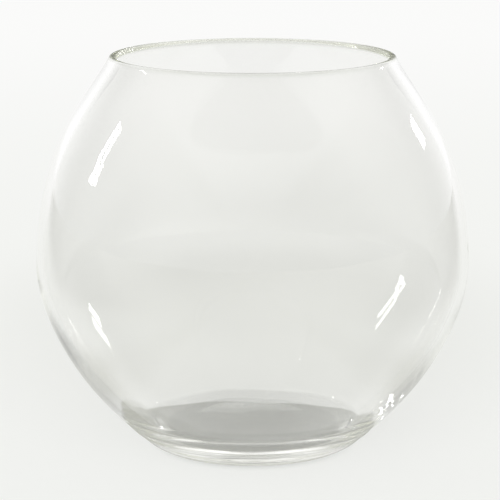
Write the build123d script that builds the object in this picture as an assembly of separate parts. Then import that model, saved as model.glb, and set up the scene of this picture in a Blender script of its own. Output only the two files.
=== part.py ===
from build123d import *

import os
from math import cos, radians, sin, tan

# Clear glass rose bowl vase: one blown, fire-polished piece, round about +Z.
# The origin is the middle of the foot, on the plane that the bowl stands on.
# The section is drawn in (radius, height), and turned about +Z into the solid.

# Driving sizes, in millimetres and degrees
body_diameter = 200.0          # outside, across the belly
overall_height = 183.0         # standing plane to the top of the lip
belly_height = 87.0            # standing plane to the widest circle

mouth_diameter = 124.0         # clear opening inside the lip
lip_thickness = 4.0            # fire-polished lip, fully rounded
shoulder_lean = 30.0           # lean of the wall from upright, just under the lip

foot_diameter = 76.0           # outer edge of the flat resting ring
resting_ring_width = 5.0
punt_depth = 0.6               # hollow under the base, at its middle
heel_radius = 20.0             # outside rounding from the resting ring up to the flank
flank_lean = 51.0              # lean of the wall from upright, just over the heel

belly_wall = 3.6               # glass thickness at the widest circle
heel_wall = 5.4                # glass thickness where the flank meets the thick base
floor_height = 9.5             # standing plane to the inside floor
floor_corner_radius = 9.0      # inside rounding from the floor up to the flank

# Fullness of the free-blown curves: length of each curve handle over the height of its stretch
flank_fullness = 0.46          # just over the heel
under_belly_fullness = 0.31    # just under the widest circle
over_belly_fullness = 0.55     # just over the widest circle
shoulder_fullness = 0.22       # just under the lip

level = Vector(1, 0)
upright = Vector(0, 1)


def leaning(angle):
    """Upward and outward directions of a wall that leans from upright by an angle, outwards if over 0."""
    turn = radians(angle)
    upward = Vector(sin(turn), cos(turn))
    outward = Vector(cos(turn), -sin(turn))
    return upward, outward


def rounding(start, start_direction, end, end_direction, radius, turn):
    """Round corner of a radius, turning by an angle of up to 90 degrees, as one smooth curve."""
    handle = radius * 4 / 3 * tan(radians(turn) / 4)
    return Bezier(start, start + start_direction * handle, end - end_direction * handle, end)


def rising_curve(start, start_direction, start_fullness, end, end_direction, end_fullness):
    """Smooth wall curve between two points, with handles in proportion to its rise."""
    rise = end.Y - start.Y
    first_handle = start + start_direction * (start_fullness * rise)
    last_handle = end - end_direction * (end_fullness * rise)
    return Bezier(start, first_handle, last_handle, end)


def wall_curves(heel_point, belly_point, lip_point):
    """The two curves of one side of the wall: heel to belly, and belly to lip."""
    lower = rising_curve(
        heel_point, flank_up, flank_fullness, belly_point, upright, under_belly_fullness)
    upper = rising_curve(
        belly_point, upright, over_belly_fullness, lip_point, shoulder_up, shoulder_fullness)
    return lower, upper


flank_up, flank_out = leaning(flank_lean)
flank_turn = 90 - flank_lean
shoulder_up, shoulder_out = leaning(-shoulder_lean)

# Foot: a flat ring that the bowl stands on, round a shallow hollow
ring_outer = Vector(foot_diameter / 2, 0)
ring_inner = Vector(foot_diameter / 2 - resting_ring_width, 0)
punt_top = Vector(0, punt_depth)
punt = TangentArc(punt_top, ring_inner, tangent=level)
resting_ring = Line(ring_inner, ring_outer)

# Heel: rounds the resting ring up to the flank
heel_centre = ring_outer + upright * heel_radius
heel_end = heel_centre + flank_out * heel_radius
heel = rounding(ring_outer, level, heel_end, flank_up, heel_radius, flank_turn)

# Lip: the top of the wall, melted to a full round in two quarter turns
lip_radius = lip_thickness / 2
lip_centre = Vector(mouth_diameter / 2 + lip_radius, overall_height - lip_radius)
lip_outside = lip_centre + shoulder_out * lip_radius
lip_crown = lip_centre + shoulder_up * lip_radius
lip_inside = lip_centre - shoulder_out * lip_radius
outer_lip = rounding(lip_outside, shoulder_up, lip_crown, -shoulder_out, lip_radius, 90)
inner_lip = rounding(lip_crown, -shoulder_out, lip_inside, -shoulder_up, lip_radius, 90)

# Inside floor and its rounded corner, one heel wall in from the outside flank
inner_flank_reach = heel_end.dot(flank_out) - heel_wall
corner_height = floor_height + floor_corner_radius
corner_reach = inner_flank_reach - floor_corner_radius
corner_centre = Vector((corner_reach - corner_height * flank_out.Y) / flank_out.X, corner_height)
floor_edge = corner_centre - upright * floor_corner_radius
corner_end = corner_centre + flank_out * floor_corner_radius
floor_corner = rounding(floor_edge, level, corner_end, flank_up, floor_corner_radius, flank_turn)
floor_middle = Vector(0, floor_height)
inside_floor = Line(floor_middle, floor_edge)

# Wall: outside and inside curves, which draw together from the heel to the belly
belly_outside = Vector(body_diameter / 2, belly_height)
belly_inside = belly_outside - level * belly_wall
outside_curves = wall_curves(heel_end, belly_outside, lip_outside)
inside_curves = wall_curves(corner_end, belly_inside, lip_inside)

middle = Line(punt_top, floor_middle)
section = make_face([
    punt, resting_ring, heel, *outside_curves, outer_lip, inner_lip,
    *inside_curves, floor_corner, inside_floor, middle])
glass_bowl = revolve(Plane.XZ * section, Axis.Z)

os.makedirs("parts", exist_ok=True)
export_step(glass_bowl, "parts/glass_bowl.step")
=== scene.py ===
import logging
import math
from dataclasses import dataclass, field
from enum import Enum
from typing import Any, ClassVar

import bpy
import numpy as np
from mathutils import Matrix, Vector


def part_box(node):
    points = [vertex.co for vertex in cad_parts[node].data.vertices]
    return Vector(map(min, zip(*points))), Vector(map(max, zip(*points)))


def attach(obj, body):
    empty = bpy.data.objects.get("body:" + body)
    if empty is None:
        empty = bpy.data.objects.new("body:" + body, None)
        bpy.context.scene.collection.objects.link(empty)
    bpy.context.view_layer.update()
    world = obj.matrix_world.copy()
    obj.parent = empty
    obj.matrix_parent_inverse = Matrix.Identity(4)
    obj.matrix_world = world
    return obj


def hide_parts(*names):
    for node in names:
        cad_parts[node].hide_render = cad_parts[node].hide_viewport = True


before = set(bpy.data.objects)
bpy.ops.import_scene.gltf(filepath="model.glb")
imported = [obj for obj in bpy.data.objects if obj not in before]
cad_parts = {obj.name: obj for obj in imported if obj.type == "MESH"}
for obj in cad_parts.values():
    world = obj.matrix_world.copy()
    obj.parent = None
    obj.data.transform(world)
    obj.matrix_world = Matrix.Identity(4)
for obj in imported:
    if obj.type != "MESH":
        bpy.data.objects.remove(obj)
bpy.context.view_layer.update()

# Clear glass rose bowl on a pale studio table, in metres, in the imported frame:
# +Z up, origin at the middle of the foot, on the plane that the bowl stands on.

log = logging.getLogger("rose_bowl")

Socket = bpy.types.NodeSocket

MM = 0.001
NODE = "glass_bowl"
BODY = "root"

# Light runs on inside the lip for many bounces. With few of them the lip would turn dark.
GLASS_BOUNCES = 512


def linear(colour: str) -> tuple[float, float, float, float]:
    """Turns an sRGB hex colour into a linear one.

    Args:
        colour: six hex digits after a hash sign.

    Returns:
        Red, green, blue and an alpha of 1.
    """
    channels = [int(colour[i:i + 2], 16) / 255 for i in (1, 3, 5)]
    red, green, blue = [c / 12.92 if c <= 0.04045 else ((c + 0.055) / 1.055) ** 2.4 for c in channels]
    return red, green, blue, 1.0


def add_node(tree: bpy.types.NodeTree, kind: str, inputs: dict[Any, Any] | None = None,
             **settings: Any) -> bpy.types.Node:
    """Adds a node with its settings, values and links.

    Args:
        tree: the node tree that gets the node.
        kind: Blender's name for the node type.
        inputs: a value, or an output socket to link, for each input by name or number.
        settings: the node's own properties.

    Returns:
        The new node.
    """
    node = tree.nodes.new(kind)
    for name, value in settings.items():
        setattr(node, name, value)
    for key, value in (inputs or {}).items():
        if isinstance(value, Socket):
            tree.links.new(value, node.inputs[key])
        else:
            node.inputs[key].default_value = value
    return node


def built_up(tree: bpy.types.NodeTree, start: Socket | float,
             gains: list[tuple[Socket, Socket | float]]) -> Socket:
    """Builds a level up from a start and several gains.

    Args:
        tree: the node tree.
        start: the level without any gain.
        gains: a share and the gain that the whole of it brings, for each step.

    Returns:
        The output that holds the level.
    """
    level = start
    for share, gain in gains:
        level = add_node(tree, "ShaderNodeMath", {
            0: share,
            1: gain,
            2: level,
        }, operation="MULTIPLY_ADD").outputs["Value"]
    return level


@dataclass(frozen=True)
class SoftEdge:
    """A soft rise from nothing at its start to all at its full mark."""

    start: float
    full: float

    def grade(self, values: np.ndarray) -> np.ndarray:
        """Grades plain numbers.

        Args:
            values: numbers to grade.

        Returns:
            Numbers from 0 to 1.
        """
        t = np.clip((values - self.start) / (self.full - self.start), 0.0, 1.0)
        return t * t * (3 - 2 * t)

    def share(self, tree: bpy.types.NodeTree, value: Socket, most: Socket | float = 1.0) -> Socket:
        """Grades a value of a node tree.

        Args:
            tree: the node tree.
            value: the output to grade.
            most: what the full mark gives.

        Returns:
            The output that runs from 0 to most.
        """
        return add_node(tree, "ShaderNodeMapRange", {
            "Value": value,
            "From Min": self.start,
            "From Max": self.full,
            "To Max": most,
        }, interpolation_type="SMOOTHSTEP").outputs["Result"]


@dataclass(frozen=True)
class TableOval:
    """An oval on the table with a soft edge, in metres.

    The edge is measured from the middle along X. Along Y it is divided by the slimness.
    """

    edge: SoftEdge
    middle: tuple[float, float] = (0.0, 0.0)
    slimness: float = 1.0

    def share(self, tree: bpy.types.NodeTree, place: Socket, most: Socket | float = 1.0) -> Socket:
        """Grades a place on the table by the oval.

        Args:
            tree: the node tree.
            place: the output that holds the place.
            most: what the full mark of the edge gives.

        Returns:
            The output that runs from 0 to most.
        """
        shifted = add_node(tree, "ShaderNodeVectorMath", {
            0: place,
            1: (*self.middle, 0.0),
        }, operation="SUBTRACT")
        widened = add_node(tree, "ShaderNodeVectorMath", {
            0: shifted.outputs["Vector"],
            1: (1.0, self.slimness, 1.0),
        }, operation="MULTIPLY")
        away = add_node(tree, "ShaderNodeVectorMath", {0: widened.outputs["Vector"]}, operation="LENGTH")
        return self.edge.share(tree, away.outputs["Value"], most)


class Skin(Enum):
    """Stretches of the bowl's surface, in the order in which the section runs."""

    PUNT = "punt"
    RING = "resting ring"
    HEEL = "heel"
    FLANK = "outside, heel to belly"
    SHOULDER = "outside, belly to lip"
    OUTER_LIP = "outer quarter of the lip"
    INNER_LIP = "inner quarter of the lip"
    INNER_SHOULDER = "inside, lip to belly"
    INNER_FLANK = "inside, belly to floor"
    CORNER = "inside corner"
    FLOOR = "inside floor"


def leaning(angle: float) -> tuple[np.ndarray, np.ndarray]:
    """Upward and outward directions of a wall that leans from upright.

    Args:
        angle: lean in degrees, outwards if over 0.

    Returns:
        The upward and the outward unit direction, as radius and height.
    """
    turn = math.radians(angle)
    upward = np.array((math.sin(turn), math.cos(turn)))
    outward = np.array((math.cos(turn), -math.sin(turn)))
    return upward, outward


def bezier(corners: list[np.ndarray], steps: int) -> np.ndarray:
    """Points along a cubic curve, without its last point.

    Args:
        corners: start, two handles and end.
        steps: how many points.

    Returns:
        An array of points, as radius and height.
    """
    t = np.arange(steps)[:, None] / steps
    weights = ((1 - t) ** 3, 3 * (1 - t) ** 2 * t, 3 * (1 - t) * t ** 2, t ** 3)
    return sum(weight * corner for weight, corner in zip(weights, corners))


@dataclass(frozen=True)
class BowlSection:
    """The half section of the bowl, with the sizes of the CAD part in metres and degrees."""

    body_diameter: float
    overall_height: float
    belly_height: float = 87.0 * MM
    mouth_diameter: float = 124.0 * MM
    lip_thickness: float = 4.0 * MM
    shoulder_lean: float = 30.0
    foot_diameter: float = 76.0 * MM
    resting_ring_width: float = 5.0 * MM
    punt_depth: float = 0.6 * MM
    heel_radius: float = 20.0 * MM
    flank_lean: float = 51.0
    belly_wall: float = 3.6 * MM
    heel_wall: float = 5.4 * MM
    floor_height: float = 9.5 * MM
    floor_corner_radius: float = 9.0 * MM
    flank_fullness: float = 0.46
    under_belly_fullness: float = 0.31
    over_belly_fullness: float = 0.55
    shoulder_fullness: float = 0.22

    def rounding(self, start: np.ndarray, start_direction: np.ndarray, end: np.ndarray,
                 end_direction: np.ndarray, radius: float, turn: float) -> list[np.ndarray]:
        """Corners of a round curve.

        Args:
            start: first point.
            start_direction: direction in which the curve leaves it.
            end: last point.
            end_direction: direction in which the curve reaches it.
            radius: radius of the rounding.
            turn: angle that it turns by, in degrees.

        Returns:
            Start, two handles and end.
        """
        handle = radius * 4 / 3 * math.tan(math.radians(turn) / 4)
        return [start, start + start_direction * handle, end - end_direction * handle, end]

    def rising(self, start: np.ndarray, start_direction: np.ndarray, start_fullness: float,
               end: np.ndarray, end_direction: np.ndarray, end_fullness: float) -> list[np.ndarray]:
        """Corners of a wall curve, with handles in proportion to its rise.

        Args:
            start: lower point.
            start_direction: upward direction of the wall there.
            start_fullness: length of the lower handle over the rise.
            end: upper point.
            end_direction: upward direction of the wall there.
            end_fullness: length of the upper handle over the rise.

        Returns:
            Start, two handles and end.
        """
        rise = end[1] - start[1]
        return [start, start + start_direction * start_fullness * rise,
                end - end_direction * end_fullness * rise, end]

    def wall(self, heel: np.ndarray, heel_up: np.ndarray, belly: np.ndarray, belly_up: np.ndarray,
             lip: np.ndarray, lip_up: np.ndarray) -> tuple[list[np.ndarray], list[np.ndarray]]:
        """Corners of the two curves of one side of the wall.

        Args:
            heel: lower end.
            heel_up: upward direction there.
            belly: point on the widest circle.
            belly_up: upward direction there.
            lip: upper end.
            lip_up: upward direction there.

        Returns:
            The curve from heel to belly, and the one from belly to lip.
        """
        lower = self.rising(heel, heel_up, self.flank_fullness, belly, belly_up, self.under_belly_fullness)
        upper = self.rising(belly, belly_up, self.over_belly_fullness, lip, lip_up, self.shoulder_fullness)
        return lower, upper

    def straight(self, start: np.ndarray, end: np.ndarray) -> list[np.ndarray]:
        """Corners of a straight curve from start to end."""
        return [start, start + (end - start) / 3, end - (end - start) / 3, end]

    def stretches(self) -> dict[Skin, list[np.ndarray]]:
        """Lays out the section, from under the foot, over the lip, to the inside floor.

        Returns:
            The four corners of each stretch's curve, in the order in which the section runs.
        """
        level = np.array((1.0, 0.0))
        upright = np.array((0.0, 1.0))
        flank_up, flank_out = leaning(self.flank_lean)
        shoulder_up, shoulder_out = leaning(-self.shoulder_lean)
        flank_turn = 90 - self.flank_lean

        ring_outer = np.array((self.foot_diameter / 2, 0.0))
        ring_inner = ring_outer - level * self.resting_ring_width
        punt_top = upright * self.punt_depth
        punt_handle = level * ring_inner[0] / 3
        punt_slope = np.array((ring_inner[0], -2 * self.punt_depth)) / 3
        heel_end = ring_outer + upright * self.heel_radius + flank_out * self.heel_radius

        lip_radius = self.lip_thickness / 2
        lip_centre = np.array((self.mouth_diameter / 2 + lip_radius, self.overall_height - lip_radius))
        lip_outside = lip_centre + shoulder_out * lip_radius
        lip_crown = lip_centre + shoulder_up * lip_radius
        lip_inside = lip_centre - shoulder_out * lip_radius

        corner_height = self.floor_height + self.floor_corner_radius
        corner_reach = heel_end @ flank_out - self.heel_wall - self.floor_corner_radius
        corner_centre = np.array(
            ((corner_reach - corner_height * flank_out[1]) / flank_out[0], corner_height))
        floor_edge = corner_centre - upright * self.floor_corner_radius
        corner_end = corner_centre + flank_out * self.floor_corner_radius
        floor_middle = upright * self.floor_height

        belly_outside = np.array((self.body_diameter / 2, self.belly_height))
        belly_inside = belly_outside - level * self.belly_wall
        outside = self.wall(heel_end, flank_up, belly_outside, upright, lip_outside, shoulder_up)
        inside = self.wall(corner_end, flank_up, belly_inside, upright, lip_inside, shoulder_up)
        corner = self.rounding(
            floor_edge, level, corner_end, flank_up, self.floor_corner_radius, flank_turn)
        return {
            Skin.PUNT: [punt_top, punt_top + punt_handle, ring_inner - punt_slope, ring_inner],
            Skin.RING: self.straight(ring_inner, ring_outer),
            Skin.HEEL: self.rounding(
                ring_outer, level, heel_end, flank_up, self.heel_radius, flank_turn),
            Skin.FLANK: outside[0],
            Skin.SHOULDER: outside[1],
            Skin.OUTER_LIP: self.rounding(
                lip_outside, shoulder_up, lip_crown, -shoulder_out, lip_radius, 90),
            Skin.INNER_LIP: self.rounding(
                lip_crown, -shoulder_out, lip_inside, -shoulder_up, lip_radius, 90),
            Skin.INNER_SHOULDER: inside[1][::-1],
            Skin.INNER_FLANK: inside[0][::-1],
            Skin.CORNER: corner[::-1],
            Skin.FLOOR: self.straight(floor_edge, floor_middle),
        }


@dataclass(frozen=True)
class Wave:
    """One slow wave around and up the wall, as a share of all its waves."""

    share: float
    around: int
    rise: float
    phase: float


@dataclass(frozen=True)
class Swell:
    """One low swell across the inside floor, as a share of all its swells."""

    share: float
    along_x: float
    along_y: float
    phase: float


@dataclass(frozen=True)
class BlownUnevenness:
    """How far the blown surface strays from a true turned form, in metres.

    Blown glass chills in rings where it first meets the mould, so the heel has shallow grooves
    and fine ripples, deepest in front. It thins unevenly, so the wall and the inside floor are
    gently wavy, but the foot and the lip stay true.
    """

    ring_spacing: float = 9.05 * MM
    ring_start: float = 54.8 * MM
    ring_width: float = 3.2 * MM
    ring_depth: float = 0.30 * MM
    ring_side_loss: float = 0.6  # share of the depth that is gone at the sides
    ring_drift: float = 1.0 * MM
    ripple_spacing: float = 5.7 * MM
    ripple_depth: float = 0.03 * MM
    ripple_rise: SoftEdge = SoftEdge(0.3 * MM, 3.0 * MM)
    ripple_end: SoftEdge = SoftEdge(25.0 * MM, 14.0 * MM)
    wall_wave: float = 0.06 * MM
    inner_wave: float = 0.08 * MM
    inner_phase: float = 1.7
    above_foot: SoftEdge = SoftEdge(0.3 * MM, 20.0 * MM)
    below_lip: SoftEdge = SoftEdge(4.0 * MM, 20.0 * MM)
    floor_wave: float = 0.12 * MM
    floor_wave_length: float = 55.0 * MM
    above_floor: SoftEdge = SoftEdge(6.0 * MM, 1.0 * MM)
    drift_waves: tuple[Wave, ...] = (
        Wave(0.50, 1, 0.0, 0.6),
        Wave(0.35, 3, 0.0, 2.0),
    )
    wall_waves: tuple[Wave, ...] = (
        Wave(0.40, 2, 5.0, 1.0),
        Wave(0.30, 5, -8.0, 2.1),
        Wave(0.18, 9, 13.0, 0.7),
        Wave(0.12, 14, -19.0, 1.3),
    )
    floor_swells: tuple[Swell, ...] = (
        Swell(0.5, 1.0, 0.4, 0.8),
        Swell(0.3, -0.7, 1.6, 2.2),
        Swell(0.2, 2.3, 1.1, 0.0),
    )

    def waves(self, height: np.ndarray, turn: np.ndarray, phase: float) -> np.ndarray:
        """Slow waves around and up the wall, from -1 to 1.

        Args:
            height: height of each row, over the body's radius.
            turn: angle of each column.
            phase: what sets one surface apart from another.

        Returns:
            One number for each row and column.
        """
        up = height[:, None]
        return sum(wave.share * np.sin(wave.around * turn + wave.rise * up + wave.phase * phase)
                   for wave in self.wall_waves)

    def hollows(self, radius: np.ndarray, turn: np.ndarray) -> np.ndarray:
        """Low swells and hollows of the inside floor, from -1 to 1.

        Args:
            radius: radius of each row.
            turn: angle of each column.

        Returns:
            One number for each row and column.
        """
        pitch = math.tau / self.floor_wave_length
        x = pitch * radius[:, None] * np.cos(turn)
        y = pitch * radius[:, None] * np.sin(turn)
        return sum(swell.share * np.sin(swell.along_x * x + swell.along_y * y + swell.phase)
                   for swell in self.floor_swells)

    def ripples(self, run: np.ndarray, height: np.ndarray, turn: np.ndarray) -> np.ndarray:
        """Chill rings and ripples of the heel, in metres.

        Args:
            run: length along the section to each row.
            height: height of each row.
            turn: angle of each column.

        Returns:
            The rise at each row and column, below 0 in the grooves.
        """
        drift = sum(wave.share * np.sin(wave.around * turn + wave.phase) for wave in self.drift_waves)
        rings = np.sin(math.tau * run[:, None] / self.ripple_spacing + drift)
        count = (run[:, None] - self.ring_start + drift * self.ring_drift) / self.ring_spacing
        beside = (count - np.round(count)) * self.ring_spacing / self.ring_width
        front = np.maximum(0.0, 1 - self.ring_side_loss * (1 + np.sin(turn)))
        grooves = front * np.exp(-beside ** 2)
        strength = self.ripple_rise.grade(height) * self.ripple_end.grade(height)
        return strength[:, None] * (self.ripple_depth * rings - self.ring_depth * grooves)


# Soda-lime glass, blown and fire-polished: a clear body with a mirror-smooth skin, which shows
# itself by bent light, bright rims and a faint olive grey where the eye looks along the wall.
# Cords are faint streaks of slightly denser glass that lie level in the wall. Real ones are a
# few millimetres apart. They are drawn 18 mm apart, because finer ones would not show.
@dataclass(frozen=True)
class ClearGlass:
    """Clear soda-lime glass, blown and fire-polished."""

    name: str = "soda_lime_glass_fire_polished"
    body_colour: str = "#FCFCFB"
    cord_colour: str = "#FBFBFA"
    cord_spacing: float = 18.0 * MM
    cord_stretch: float = 5.0
    cord_detail: float = 2.0
    ior: float = 1.52
    roughness: float = 0.0
    depth_colour: str = "#E0E4C4"
    depth_density: float = 0.7

    def material(self) -> bpy.types.Material:
        """Makes the glass material.

        Returns:
            The material, with a surface and a body that takes up a little light.
        """
        material = bpy.data.materials.new(self.name)
        material.use_nodes = True
        tree = material.node_tree
        tree.nodes.clear()
        place = add_node(tree, "ShaderNodeTexCoord").outputs["Object"]
        level = add_node(tree, "ShaderNodeMapping", {
            "Vector": place,
            "Scale": (1.0, 1.0, self.cord_stretch),
        })
        cords = add_node(tree, "ShaderNodeTexNoise", {
            "Vector": level.outputs["Vector"],
            "Scale": 1.0 / (self.cord_spacing * self.cord_stretch),
            "Detail": self.cord_detail,
        })
        tint = add_node(tree, "ShaderNodeMix", {
            "Factor": cords.outputs["Fac"],
            "A": linear(self.body_colour),
            "B": linear(self.cord_colour),
        }, data_type="RGBA")
        glass = add_node(tree, "ShaderNodeBsdfPrincipled", {
            "Base Color": tint.outputs["Result"],
            "Roughness": self.roughness,
            "IOR": self.ior,
            "Transmission Weight": 1.0,
        })
        depth = add_node(tree, "ShaderNodeVolumeAbsorption", {
            "Color": linear(self.depth_colour),
            "Density": self.depth_density,
        })
        add_node(tree, "ShaderNodeOutputMaterial", {
            "Surface": glass.outputs["BSDF"],
            "Volume": depth.outputs["Volume"],
        })
        return material


# Matt background paper: a pale grey-white sheet under and behind the bowl, painted lighter towards
# the back, with a painted soft shadow behind the bowl. Apart from these, the camera sees it plain.
# Light that comes through or off the glass also meets painted shade: darker sides and front, a
# darker strip beside the bowl, and a dark olive sheet under the bowl, which draw the outline and
# the base.
@dataclass(frozen=True)
class TablePaper:
    """Matt white background paper, with places in metres from the middle of the bowl."""

    name: str = "matt_background_paper"
    near_colour: str = "#F3F4F1"
    # Painted light: the sheet is painted lighter towards the back.
    painted_back_light: str = "#FBFBFA"
    # Painted shade: darker sides, seen only through or off the glass.
    painted_side_shade: str = "#C5C5C2"
    # Painted shade: a darker front, seen only through or off the glass.
    painted_front_shade: str = "#E0E0DD"
    # Painted shade: a darker strip beside the bowl, seen only through or off the glass.
    painted_beside_shade: str = "#DADBD5"
    # Painted shadow: the soft shadow behind the bowl is painted in this colour.
    shadow_colour: str = "#ECEDE9"
    # Painted shade: under the bowl the sheet is painted dark olive, deepening the real shade there; the
    # camera does not see it directly.
    shade_colour: str = "#8E9078"
    back: SoftEdge = SoftEdge(0.2, 1.8)
    front: SoftEdge = SoftEdge(-0.10, -0.25)
    side: SoftEdge = SoftEdge(0.14, 0.32)
    side_spread: float = 0.7  # how fast the pale middle widens towards the back
    side_shift: float = 0.04  # how far the pale middle lies to the left
    # Where the painted shade beside the bowl lies.
    beside_near: SoftEdge = SoftEdge(0.07, 0.09)
    beside_far: SoftEdge = SoftEdge(0.145, 0.10)
    beside_back: SoftEdge = SoftEdge(0.15, 0.08)
    contact: TableOval = TableOval(SoftEdge(25.0 * MM, 50.0 * MM))
    # Where the painted shade under the bowl lies.
    shade: TableOval = TableOval(SoftEdge(69.5 * MM, 73.0 * MM), (-5.0 * MM, -13.0 * MM), 1.57)
    shade_share: float = 0.50  # how much of its own colour the sheet shows in the shade
    # Where the painted soft shadow behind the bowl lies; there the glow also drops, so the real shadow
    # shows too.
    shadow: TableOval = TableOval(SoftEdge(0.22, 0.04), (0.0, 0.25), 0.7)
    shadow_depth: float = 0.45
    seen_share: float = 0.92  # how much of its own colour it shows elsewhere
    roughness: float = 0.9

    def tint(self, tree: bpy.types.NodeTree, place: Socket, bent: Socket, shadow: Socket) -> Socket:
        """Colours the sheet by place, with painted light and shade.

        Args:
            tree: the node tree.
            place: the place on the table.
            bent: 1 for light that comes through or off the glass.
            shadow: share of the painted soft shadow.

        Returns:
            The output that holds the colour.
        """
        axes = add_node(tree, "ShaderNodeSeparateXYZ", {0: place}).outputs
        aside = add_node(tree, "ShaderNodeMath", {0: axes["X"]}, operation="ABSOLUTE").outputs["Value"]
        shifted = add_node(tree, "ShaderNodeMath", {0: axes["X"], 1: self.side_shift}, operation="ADD")
        reach = add_node(tree, "ShaderNodeMath", {0: shifted.outputs["Value"]}, operation="ABSOLUTE")
        behind = add_node(tree, "ShaderNodeMath", {0: axes["Y"], 1: 0.0}, operation="MAXIMUM")
        outside = built_up(tree, reach.outputs["Value"], [(behind.outputs["Value"], -self.side_spread)])
        # Painted shade in a strip beside the bowl, for light that comes through or off the glass.
        beside = self.beside_back.share(tree, axes["Y"], bent)
        beside = self.beside_far.share(tree, aside, beside)
        beside = self.beside_near.share(tree, aside, beside)
        # Painted light and shade: lighter at the back, darker sides, front and strip beside the bowl, and
        # the soft shadow.
        tints = (
            (self.back.share(tree, axes["Y"]), self.painted_back_light),
            (self.side.share(tree, outside, bent), self.painted_side_shade),
            (self.front.share(tree, axes["Y"], bent), self.painted_front_shade),
            (beside, self.painted_beside_shade),
            (shadow, self.shadow_colour),
        )
        colour = linear(self.near_colour)
        for share, change in tints:
            colour = add_node(tree, "ShaderNodeMix", {
                "Factor": share,
                "A": colour,
                "B": linear(change),
            }, data_type="RGBA").outputs["Result"]
        return colour

    def glow(self, tree: bpy.types.NodeTree, seen: Socket, bent: Socket, shade: Socket,
             shadow: Socket) -> Socket:
        """Works out how much of the sheet shows its own colour, whatever light falls on it.

        Args:
            tree: the node tree.
            seen: 1 where the camera itself sees the sheet, fading to 0 under the foot.
            bent: 1 for light that comes through or off the glass.
            shade: 0 in the painted shade under the bowl, 1 outside it.
            shadow: share of the painted soft shadow.

        Returns:
            The output that holds the share.
        """
        # Less glow in the painted shade under the bowl and in the painted shadow, so the dark painted
        # colour and the real lighting show there.
        steps = (
            ("MAXIMUM", self.shade_share),
            ("MULTIPLY", bent),
            ("MAXIMUM", seen),
            ("MULTIPLY", built_up(tree, self.seen_share, [(shadow, -self.shadow_depth)])),
        )
        share = shade
        for operation, other in steps:
            share = add_node(tree, "ShaderNodeMath", {
                0: share,
                1: other,
            }, operation=operation).outputs["Value"]
        return share

    def material(self) -> bpy.types.Material:
        """Makes the paper material.

        Returns:
            The material, a matt sheet that partly shows its colour by itself.
        """
        material = bpy.data.materials.new(self.name)
        material.use_nodes = True
        tree = material.node_tree
        tree.nodes.clear()
        place = add_node(tree, "ShaderNodeTexCoord").outputs["Object"]
        ray = add_node(tree, "ShaderNodeLightPath").outputs
        camera = ray["Is Camera Ray"]
        bent = add_node(tree, "ShaderNodeMath", {
            0: ray["Is Glossy Ray"],
            1: ray["Is Transmission Ray"],
        }, operation="MAXIMUM").outputs["Value"]
        seen = self.contact.share(tree, place, camera)
        shade = self.shade.share(tree, place)
        shadow = self.shadow.share(tree, place)
        colour = self.tint(tree, place, bent, shadow)
        glow_share = self.glow(tree, seen, bent, shade, shadow)
        # Painted shade: under the bowl the sheet takes the dark olive shade colour, except for camera
        # rays.
        plain = add_node(tree, "ShaderNodeMath", {0: shade, 1: camera}, operation="MAXIMUM")
        sheet_colour = add_node(tree, "ShaderNodeMix", {
            "Factor": plain.outputs["Value"],
            "A": linear(self.shade_colour),
            "B": colour,
        }, data_type="RGBA")
        sheet = add_node(tree, "ShaderNodeBsdfPrincipled", {
            "Base Color": sheet_colour.outputs["Result"],
            "Roughness": self.roughness,
            "Specular IOR Level": 0.0,
        })
        glow = add_node(tree, "ShaderNodeEmission", {"Color": colour, "Strength": 1.0})
        surface = add_node(tree, "ShaderNodeMixShader", {
            0: glow_share,
            1: sheet.outputs["BSDF"],
            2: glow.outputs["Emission"],
        })
        add_node(tree, "ShaderNodeOutputMaterial", {"Surface": surface.outputs["Shader"]})
        return material


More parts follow.
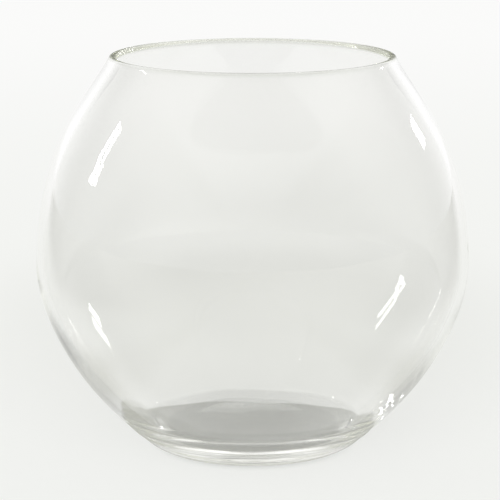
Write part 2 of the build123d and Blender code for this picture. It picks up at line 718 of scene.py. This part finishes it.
@dataclass
class GlassBowl:
    """The whole vase: one piece of blown glass, turned from its section."""

    section: BowlSection
    finish: ClearGlass
    unevenness: BlownUnevenness = field(default_factory=BlownUnevenness)
    name: str = "blown_glass_bowl"
    steps_around: int = 272
    fewest_rows: int = 3

    # Rows lie closest where the section bends most, and where the rings are.
    row_spacing: ClassVar[dict[Skin, float]] = {
        Skin.PUNT: 3.0 * MM,
        Skin.RING: 1.2 * MM,
        Skin.HEEL: 0.5 * MM,
        Skin.FLANK: 1.0 * MM,
        Skin.SHOULDER: 2.2 * MM,
        Skin.OUTER_LIP: 0.35 * MM,
        Skin.INNER_LIP: 0.35 * MM,
        Skin.INNER_SHOULDER: 2.2 * MM,
        Skin.INNER_FLANK: 1.6 * MM,
        Skin.CORNER: 0.6 * MM,
        Skin.FLOOR: 1.6 * MM,
    }

    def rows(self) -> tuple[np.ndarray, np.ndarray]:
        """Divides the section into rows, from axis to axis.

        Returns:
            The points of the rows, as radius and height, and the stretch that each is on.
        """
        points = []
        skins = []
        for skin, corners in self.section.stretches().items():
            length = sum(np.linalg.norm(b - a) for a, b in zip(corners, corners[1:]))
            steps = max(self.fewest_rows, round(length / self.row_spacing[skin]))
            points.append(bezier(corners, steps))
            skins += [skin] * steps
        points.append(corners[-1][None])
        skins.append(skin)
        return np.vstack(points), np.array(skins)

    def uneven(self, points: np.ndarray, skins: np.ndarray, turn: np.ndarray) -> np.ndarray:
        """How far each vertex moves outwards along the section's normal.

        Args:
            points: the section's points, as radius and height.
            skins: the stretch that each point is on.
            turn: angle of each column.

        Returns:
            One length for each row and column.
        """
        blown = self.unevenness
        radius, height = points.T
        share = height / (self.section.body_diameter / 2)
        run = np.concatenate(([0.0], np.cumsum(np.linalg.norm(np.diff(points, axis=0), axis=1))))
        outer = np.isin(skins, (Skin.HEEL, Skin.FLANK, Skin.SHOULDER))
        inner = np.isin(skins, (Skin.INNER_SHOULDER, Skin.INNER_FLANK, Skin.CORNER))
        floor = np.isin(skins, (Skin.CORNER, Skin.FLOOR))
        free = blown.above_foot.grade(height) * blown.below_lip.grade(self.section.overall_height - height)
        flat = blown.above_floor.grade(height - self.section.floor_height)
        outer_waves = blown.wall_wave * blown.waves(share, turn, 0.0)
        inner_waves = blown.inner_wave * blown.waves(share, turn, blown.inner_phase)
        move = outer[:, None] * blown.ripples(run, height, turn)
        move = move + (outer * free)[:, None] * outer_waves
        move = move + (inner * free)[:, None] * inner_waves
        move = move + (floor * flat)[:, None] * blown.floor_wave * blown.hollows(radius, turn)
        return move

    def faces(self, rings: int) -> list[tuple[int, ...]]:
        """Joins rings of vertices, and the two points on the axis that come after them.

        Args:
            rings: how many rings there are.

        Returns:
            The vertices of each face, seen from outside the glass.
        """
        first = rings * self.steps_around
        last = first + 1
        top = first - self.steps_around
        pairs = [(a, (a + 1) % self.steps_around) for a in range(self.steps_around)]
        faces = [(first, b, a) for a, b in pairs]
        for low in range(0, top, self.steps_around):
            high = low + self.steps_around
            faces += [(low + a, low + b, high + b, high + a) for a, b in pairs]
        faces += [(last, top + a, top + b) for a, b in pairs]
        return faces

    def mesh(self) -> bpy.types.Mesh:
        """Turns the section about +Z, with the unevenness of blown glass.

        Returns:
            A closed, smooth mesh.
        """
        points, skins = self.rows()
        turn = np.arange(self.steps_around) * math.tau / self.steps_around
        along = np.gradient(points, axis=0)
        along /= np.linalg.norm(along, axis=1)[:, None]
        outward = np.stack((along[:, 1], -along[:, 0]), axis=1)
        move = self.uneven(points, skins, turn)
        radius = points[:, :1] + outward[:, :1] * move
        height = points[:, 1:] + outward[:, 1:] * move

        rings = slice(1, -1)
        x = radius[rings] * np.cos(turn)
        y = radius[rings] * np.sin(turn)
        turned = np.stack((x, y, height[rings]), axis=-1).reshape(-1, 3)
        vertices = np.vstack((turned, [(0, 0, height[0, 0]), (0, 0, height[-1, 0])]))

        mesh = bpy.data.meshes.new(self.name)
        mesh.from_pydata(vertices.tolist(), [], self.faces(len(points) - 2))
        mesh.validate()
        mesh.polygons.foreach_set("use_smooth", [True] * len(mesh.polygons))
        mesh.update()
        return mesh

    def build(self) -> bpy.types.Object:
        """Makes the bowl, dresses it and puts it in the place of its CAD node.

        Returns:
            The bowl.
        """
        mesh = self.mesh()
        mesh.materials.append(self.finish.material())
        bowl = bpy.data.objects.new(self.name, mesh)
        bpy.context.scene.collection.objects.link(bowl)
        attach(bowl, BODY)
        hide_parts(NODE)
        return bowl


@dataclass(frozen=True)
class SoftBox:
    """A soft lamp that faces the bowl, with sizes in metres and angles in degrees."""

    name: str
    azimuth: float
    elevation: float
    width: float
    height: float
    distance: float = 5.0
    radiance: float = 16.0

    def build(self, target: Vector) -> bpy.types.Object:
        """Makes the lamp.

        Args:
            target: point that the lamp faces.

        Returns:
            The lamp.
        """
        lamp = bpy.data.lights.new(self.name, "AREA")
        lamp.shape = "RECTANGLE"
        lamp.size = self.width
        lamp.size_y = self.height
        lamp.energy = self.radiance * math.pi * self.width * self.height
        azimuth = math.radians(self.azimuth)
        elevation = math.radians(self.elevation)
        away = Vector((math.sin(azimuth) * math.cos(elevation),
                       -math.cos(azimuth) * math.cos(elevation), math.sin(elevation)))
        obj = bpy.data.objects.new(self.name, lamp)
        obj.location = target + away * self.distance
        obj.rotation_euler = away.to_track_quat("Z", "Y").to_euler()
        bpy.context.scene.collection.objects.link(obj)
        return obj


@dataclass
class Studio:
    """Pale table, soft room light, a strip of lamps at the left and one lamp at the right.

    The edges of the room light are parts of a unit direction: X to the right, Y to the back, Z up.
    """

    paper: TablePaper
    target: Vector
    table_radius: float = 6.0
    table_steps: int = 128
    table_drop: float = 0.05 * MM
    room_colour: str = "#FFFFFF"
    seen_level: float = 0.95
    side_level: float = 0.55
    back: SoftEdge = SoftEdge(0.45, 0.9)
    back_gain: float = 0.5
    middle_width: SoftEdge = SoftEdge(0.35, 0.05)
    middle_height: SoftEdge = SoftEdge(0.65, 0.45)
    middle_dip: float = 1.6
    front: SoftEdge = SoftEdge(-0.2, -0.8)
    front_gain: float = 0.2
    front_lean: float = 0.5  # how much brighter the front is at the far left than in its middle
    high_front: SoftEdge = SoftEdge(0.1, 0.5)
    high_front_dip: float = 0.5
    top: SoftEdge = SoftEdge(0.35, 0.75)
    top_gain: float = 0.53
    lamps: tuple[SoftBox, ...] = (
        SoftBox("left_strip_top", -105.5, 25.0, 0.19, 0.98),
        SoftBox("left_strip_lamp", -104.0, 17.0, 0.23, 0.54),
        SoftBox("left_strip_end", -104.0, 14.5, 0.35, 0.19),
        SoftBox("right_soft_lamp", 130.0, 15.6, 0.31, 0.44),
    )

    def table(self) -> bpy.types.Object:
        """Makes the round table top, a hair under the foot.

        Returns:
            The table.
        """
        step = math.tau / self.table_steps
        ring = [(self.table_radius * math.cos(i * step), self.table_radius * math.sin(i * step), 0.0)
                for i in range(self.table_steps)]
        mesh = bpy.data.meshes.new("table")
        mesh.from_pydata(ring, [], [tuple(range(self.table_steps))])
        mesh.materials.append(self.paper.material())
        table = bpy.data.objects.new("table", mesh)
        table.location.z = -self.table_drop
        bpy.context.scene.collection.objects.link(table)
        return table

    def room(self) -> bpy.types.World:
        """Makes the room light: bright above and behind, dim high in front and low behind the middle.

        Returns:
            The world that holds the light.
        """
        world = bpy.data.worlds.new("studio_room")
        world.use_nodes = True
        tree = world.node_tree
        tree.nodes.clear()
        way = add_node(tree, "ShaderNodeTexCoord").outputs["Generated"]
        axes = add_node(tree, "ShaderNodeSeparateXYZ", {0: way}).outputs
        aside = add_node(tree, "ShaderNodeMath", {0: axes["X"]}, operation="ABSOLUTE").outputs["Value"]
        dip = self.middle_height.share(tree, axes["Z"], self.middle_dip)
        dip = self.middle_width.share(tree, aside, dip)
        kept = add_node(tree, "ShaderNodeMath", {0: 1.0, 1: dip}, operation="SUBTRACT")
        front_gain = built_up(tree, self.front_gain, [
            (axes["X"], -self.front_lean),
            (self.high_front.share(tree, axes["Z"]), -self.high_front_dip),
        ])
        level = built_up(tree, self.side_level, [
            (self.back.share(tree, axes["Y"], kept.outputs["Value"]), self.back_gain),
            (self.front.share(tree, axes["Y"]), front_gain),
            (self.top.share(tree, axes["Z"]), self.top_gain),
        ])
        ray = add_node(tree, "ShaderNodeLightPath").outputs
        seen = add_node(tree, "ShaderNodeMix", {
            "Factor": ray["Is Camera Ray"],
            "A": level,
            "B": self.seen_level,
        })
        light = add_node(tree, "ShaderNodeBackground", {
            "Color": linear(self.room_colour),
            "Strength": seen.outputs["Result"],
        })
        add_node(tree, "ShaderNodeOutputWorld", {"Surface": light.outputs["Background"]})
        bpy.context.scene.world = world
        return world

    def build(self) -> None:
        """Makes the table, the room light and the lamps, and reports them."""
        log.info("table %s", self.table().name)
        log.info("room light %s", self.room().name)
        for lamp in self.lamps:
            log.info("lamp %s", lamp.build(self.target).name)


@dataclass(frozen=True)
class PhotoCamera:
    """The camera at the photograph's viewing angle, in metres, degrees and millimetres of lens."""

    place: tuple[float, float, float] = (-0.0012, -1.118, 0.3225)
    tilt_down: float = 11.65
    focal_length: float = 177.26
    sensor_width: float = 36.0
    farthest: float = 50.0

    def build(self) -> bpy.types.Object:
        """Makes the camera and gives it to the scene.

        Returns:
            The camera.
        """
        data = bpy.data.cameras.new("photo_camera")
        data.lens = self.focal_length
        data.sensor_width = self.sensor_width
        data.clip_end = self.farthest
        camera = bpy.data.objects.new("photo_camera", data)
        camera.location = self.place
        camera.rotation_euler = (math.radians(90 - self.tilt_down), 0.0, 0.0)
        bpy.context.scene.collection.objects.link(camera)
        bpy.context.scene.camera = camera
        return camera


def main() -> None:
    """Builds the bowl, the studio and the camera."""
    logging.basicConfig(level=logging.INFO, format="%(name)s: %(message)s")
    scene = bpy.context.scene
    scene.view_settings.view_transform = "Standard"
    scene.cycles.max_bounces = GLASS_BOUNCES
    scene.cycles.transmission_bounces = GLASS_BOUNCES
    scene.cycles.glossy_bounces = GLASS_BOUNCES
    low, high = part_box(NODE)
    section = BowlSection(body_diameter=high.x - low.x, overall_height=high.z)
    bowl = GlassBowl(section, ClearGlass()).build()
    log.info("piece %s: %d faces", bowl.name, len(bowl.data.polygons))
    Studio(TablePaper(), Vector((0.0, 0.0, section.belly_height))).build()
    log.info("camera %s", PhotoCamera().build().name)


if __name__ == "__main__":
    main()
